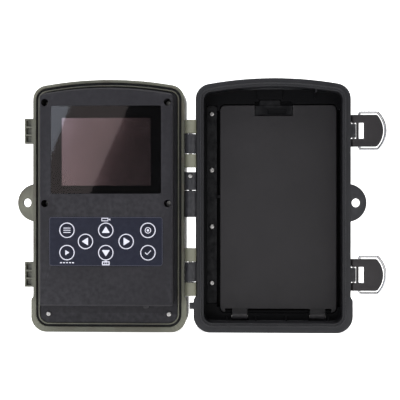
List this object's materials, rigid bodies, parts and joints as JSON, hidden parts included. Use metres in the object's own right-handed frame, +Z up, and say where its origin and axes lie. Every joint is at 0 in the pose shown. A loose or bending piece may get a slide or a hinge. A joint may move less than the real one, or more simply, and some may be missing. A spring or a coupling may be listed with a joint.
{
  "type": "trail camera",
  "caption": "Weatherproof hinged trail camera shown open: display and keypad half, battery half with door, wire-bail latches, padlock ears, tripod socket and strap bracket.",
  "frame": {"origin": "mouth of the tripod socket in the foot of the battery half", "axes": "+Z up; +Y from the open insides towards the backs; +X from the electronics half towards the battery half, with the case open flat"},
  "size_m": [0.212, 0.0587, 0.1456],
  "materials": {
    "olive_shell": "fine moulded grain with camouflage patches",
    "black_shell": "fine moulded grain",
    "black_trim": "satin moulded",
    "cover_grey": "fine moulded grain",
    "tray_black": "satin moulded",
    "seal_rubber": "matte",
    "steel": "bright zinc",
    "spring_steel": "nickel plated",
    "chrome_wire": "polished",
    "brass_bush": "turned",
    "cell_jacket": "plain printed jacket",
    "display_glass": "polished",
    "display_panel": "dark glossy",
    "frame_black": "satin",
    "keypad_film": "satin film",
    "key_film": "satin film with printed ring and icon",
    "circuit_green": "solder mask",
    "chip_black": "moulded",
    "wire_black": "satin",
    "card_blue": "moulded",
    "fascia_black": "polished",
    "ir_filter": "dark filter",
    "led_clear": "clear domes",
    "lens_ring": "satin ring",
    "lens_glass": "coated",
    "sensor_can": "nickel can",
    "fresnel_white": "milky sheet"
  },
  "bodies": {
    "rear": {"rear_shell": "black_shell", "battery_tray": "tray_black", "contact_springs": "spring_steel", "contact_plates": "spring_steel", "aa_cells": "cell_jacket", "door_pins": "steel", "wiring_cover": "black_trim", "wiring_cover_screws": "steel", "tripod_insert": "brass_bush", "dc_jack": "frame_black", "tree_bracket": "black_trim", "bracket_screws": "steel", "hinge_pins": "steel", "hinge_bumper": "seal_rubber", "latch_pins": "steel", "power_lead_rear": "wire_black"},
    "front": {"front_shell": "olive_shell", "gasket": "seal_rubber", "inner_cover": "cover_grey", "cover_screws": "steel", "display_window": "display_glass", "lcd_frame": "frame_black", "lcd_module": "display_panel", "keypad_overlay": "keypad_film", "key_board": "circuit_green", "main_board": "circuit_green", "board_parts": "chip_black", "duct_cap": "black_trim", "duct_cap_screw": "steel", "power_lead_front": "wire_black", "mode_switch_body": "frame_black", "usb_port": "spring_steel", "sd_slot": "spring_steel", "front_fascia": "fascia_black", "ir_window": "ir_filter", "ir_board": "circuit_green", "ir_leds": "led_clear", "lens_barrel": "lens_ring", "lens_glass": "lens_glass", "sensor_board": "circuit_green", "image_sensor": "chip_black", "pir_sensor": "sensor_can", "pir_lens": "fresnel_white"},
    "battery_door": {"battery_door": "black_trim"},
    "door_latch": {"door_latch": "black_trim"},
    "dc_plug": {"dc_plug": "seal_rubber"},
    "mode_switch_knob": {"mode_switch_knob": "frame_black"},
    "sd_card": {"sd_card": "card_blue"},
    "latch_lever_upper": {"latch_lever_upper": "black_trim"},
    "bail_upper": {"bail_upper": "chrome_wire"},
    "latch_lever_lower": {"latch_lever_lower": "black_trim"},
    "bail_lower": {"bail_lower": "chrome_wire"},
    "key_menu": {"key_menu": "key_film"},
    "key_up": {"key_up": "key_film"},
    "key_shot": {"key_shot": "key_film"},
    "key_left": {"key_left": "key_film"},
    "key_right": {"key_right": "key_film"},
    "key_replay": {"key_replay": "key_film"},
    "key_down": {"key_down": "key_film"},
    "key_ok": {"key_ok": "key_film"}
  },
  "joints": [
    {"name": "case_hinge", "type": "hinge", "parent": "rear", "child": "front", "pos_m": [-0.04715, -0.02, 0.0815], "axis": [0, 0, 1], "range_deg": [0, 180]},
    {"name": "latch_upper", "type": "hinge", "parent": "rear", "child": "latch_lever_upper", "pos_m": [0.0462, -0.0155, 0.1156], "axis": [0, 0, 1], "range_deg": [-15, 90]},
    {"name": "bail_turn_upper", "type": "hinge", "parent": "latch_lever_upper", "child": "bail_upper", "pos_m": [0.0496, -0.0155, 0.1156], "axis": [0, 0, 1], "range_deg": [-180, 30]},
    {"name": "latch_lower", "type": "hinge", "parent": "rear", "child": "latch_lever_lower", "pos_m": [0.0462, -0.0155, 0.033], "axis": [0, 0, 1], "range_deg": [-15, 90]},
    {"name": "bail_turn_lower", "type": "hinge", "parent": "latch_lever_lower", "child": "bail_lower", "pos_m": [0.0496, -0.0155, 0.033], "axis": [0, 0, 1], "range_deg": [-180, 30]},
    {"name": "battery_door_hinge", "type": "hinge", "parent": "rear", "child": "battery_door", "pos_m": [0.0035, -0.005, 0.0076], "axis": [-1, 0, 0], "range_deg": [-90, 0]},
    {"name": "door_latch_slide", "type": "slide", "parent": "battery_door", "child": "door_latch", "axis": [0, 0, 1], "range_m": [0, 0.0018]},
    {"name": "dc_plug_pull", "type": "slide", "parent": "rear", "child": "dc_plug", "axis": [0, 0, 1], "range_m": [-0.009, 0]},
    {"name": "mode_switch_slide", "type": "slide", "parent": "front", "child": "mode_switch_knob", "axis": [1, 0, 0], "range_m": [-0.002, 0.002]},
    {"name": "sd_card_slide", "type": "slide", "parent": "front", "child": "sd_card", "axis": [0, 0, 1], "range_m": [-0.016, 0]},
    {"name": "key_press_menu", "type": "slide", "parent": "front", "child": "key_menu", "axis": [0, 1, 0], "range_m": [0, 0.00035], "stiffness_N_per_m": 500},
    {"name": "key_press_up", "type": "slide", "parent": "front", "child": "key_up", "axis": [0, 1, 0], "range_m": [0, 0.00035], "stiffness_N_per_m": 500},
    {"name": "key_press_shot", "type": "slide", "parent": "front", "child": "key_shot", "axis": [0, 1, 0], "range_m": [0, 0.00035], "stiffness_N_per_m": 500},
    {"name": "key_press_left", "type": "slide", "parent": "front", "child": "key_left", "axis": [0, 1, 0], "range_m": [0, 0.00035], "stiffness_N_per_m": 500},
    {"name": "key_press_right", "type": "slide", "parent": "front", "child": "key_right", "axis": [0, 1, 0], "range_m": [0, 0.00035], "stiffness_N_per_m": 500},
    {"name": "key_press_replay", "type": "slide", "parent": "front", "child": "key_replay", "axis": [0, 1, 0], "range_m": [0, 0.00035], "stiffness_N_per_m": 500},
    {"name": "key_press_down", "type": "slide", "parent": "front", "child": "key_down", "axis": [0, 1, 0], "range_m": [0, 0.00035], "stiffness_N_per_m": 500},
    {"name": "key_press_ok", "type": "slide", "parent": "front", "child": "key_ok", "axis": [0, 1, 0], "range_m": [0, 0.00035], "stiffness_N_per_m": 500}
  ],
  "couplings": [
    {"joint": "bail_turn_upper", "follows": "latch_upper", "ratio": -2},
    {"joint": "bail_turn_lower", "follows": "latch_lower", "ratio": -2}
  ]
}
